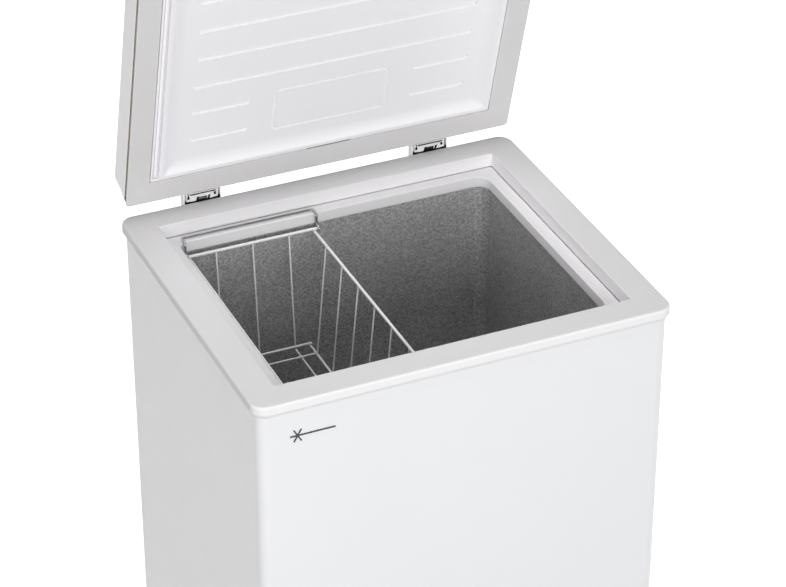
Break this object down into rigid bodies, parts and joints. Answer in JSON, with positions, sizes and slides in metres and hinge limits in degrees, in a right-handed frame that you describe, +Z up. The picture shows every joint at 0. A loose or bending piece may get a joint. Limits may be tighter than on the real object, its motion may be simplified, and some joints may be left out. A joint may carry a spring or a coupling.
{
  "type": "chest freezer",
  "caption": "White upright-box chest freezer with a lift-up lid on rear hinges, a metal-lined chamber with a stepped floor and a sliding wire basket.",
  "frame": {"origin": "centre of the bounding box in plan, on the floor under the feet", "axes": "+Z up, -Y towards the front, +X towards the right-hand side seen from the front; the lid is stored open"},
  "size_m": [0.573, 0.5322, 1.3111],
  "materials": {
    "white_steel": "gloss",
    "white_plastic": "satin",
    "panel_plastic": "satin",
    "grey_rubber": "matte",
    "stucco_aluminium": "satin",
    "zinc_steel": "satin",
    "chrome_wire": "polished",
    "foam": "matte",
    "black_plastic": "matte",
    "black_rubber": "matte",
    "copper_tube": "satin",
    "white_wire": "gloss",
    "grey_mark": "satin",
    "green_lens": "gloss",
    "black_steel": "satin"
  },
  "bodies": {
    "cabinet": {"outer_wrapper": "white_steel", "rear_panel": "white_steel", "base_pan": "zinc_steel", "compressor_bulkhead": "zinc_steel", "compressor_tray": "zinc_steel", "thermostat": "zinc_steel", "hinge_bracket_left": "zinc_steel", "hinge_bracket_right": "zinc_steel", "hinge_screw_left": "zinc_steel", "hinge_screw_right": "zinc_steel", "hinge_spring_left": "zinc_steel", "hinge_spring_right": "zinc_steel", "cabinet_foam": "foam", "rim_foam": "foam", "inner_liner": "stucco_aluminium", "evaporator_coil": "stucco_aluminium", "condenser_coil": "copper_tube", "suction_line": "copper_tube", "filter_drier": "copper_tube", "top_collar": "white_plastic", "throat_frame": "white_plastic", "drain_tube": "white_plastic", "control_panel": "white_plastic", "hinge_cover_left": "white_plastic", "hinge_cover_right": "white_plastic", "foot_front_left": "black_plastic", "foot_front_right": "black_plastic", "foot_rear_left": "black_plastic", "foot_rear_right": "black_plastic", "relay_cover": "black_plastic", "compressor_grille": "black_plastic", "mains_gland": "black_plastic", "mount_grommet_front_left": "black_rubber", "mount_grommet_front_right": "black_rubber", "mount_grommet_rear_left": "black_rubber", "mount_grommet_rear_right": "black_rubber", "compressor": "black_steel", "power_lamp": "green_lens", "front_emblem": "grey_mark", "hinge_pin_left": "chrome_wire", "hinge_pin_right": "chrome_wire"},
    "lid": {"lid_shell": "white_steel", "lid_inner_panel": "panel_plastic", "lid_foam": "foam", "lid_gasket": "grey_rubber", "lid_grip": "white_plastic", "hinge_leaf_left": "zinc_steel", "hinge_leaf_right": "zinc_steel", "leaf_screw_left": "zinc_steel", "leaf_screw_right": "zinc_steel"},
    "basket": {"basket_rim": "white_wire", "basket_side_left": "white_wire", "basket_side_right": "white_wire", "basket_end_front": "white_wire", "basket_end_rear": "white_wire", "basket_floor": "white_wire"},
    "handle_front": {"basket_handle_front": "chrome_wire"},
    "handle_rear": {"basket_handle_rear": "chrome_wire"},
    "knob": {"thermostat_knob": "white_plastic"},
    "plug": {"drain_plug": "black_rubber"}
  },
  "joints": [
    {"name": "lid_hinge", "type": "hinge", "parent": "cabinet", "child": "lid", "pos_m": [0, 0.2465, 0.823], "axis": [-1, 0, 0], "range_deg": [-74.2, 5.8]},
    {"name": "thermostat_turn", "type": "hinge", "parent": "cabinet", "child": "knob", "pos_m": [0.198, -0.25, 0.11], "axis": [0, -1, 0], "range_deg": [-270, 0]},
    {"name": "basket_slide", "type": "slide", "parent": "cabinet", "child": "basket", "axis": [1, 0, 0], "range_m": [-0.0015, 0.245]},
    {"name": "basket_handle_rear_swing", "type": "hinge", "parent": "basket", "child": "handle_rear", "pos_m": [-0.123, 0.1698, 0.7655], "axis": [1, 0, 0], "range_deg": [0, 120]},
    {"name": "basket_handle_front_swing", "type": "hinge", "parent": "basket", "child": "handle_front", "pos_m": [-0.123, -0.1812, 0.7655], "axis": [-1, 0, 0], "range_deg": [0, 120]},
    {"name": "drain_plug_pull", "type": "slide", "parent": "cabinet", "child": "plug", "axis": [0, 0, 1], "range_m": [0, 0.03]}
  ]
}
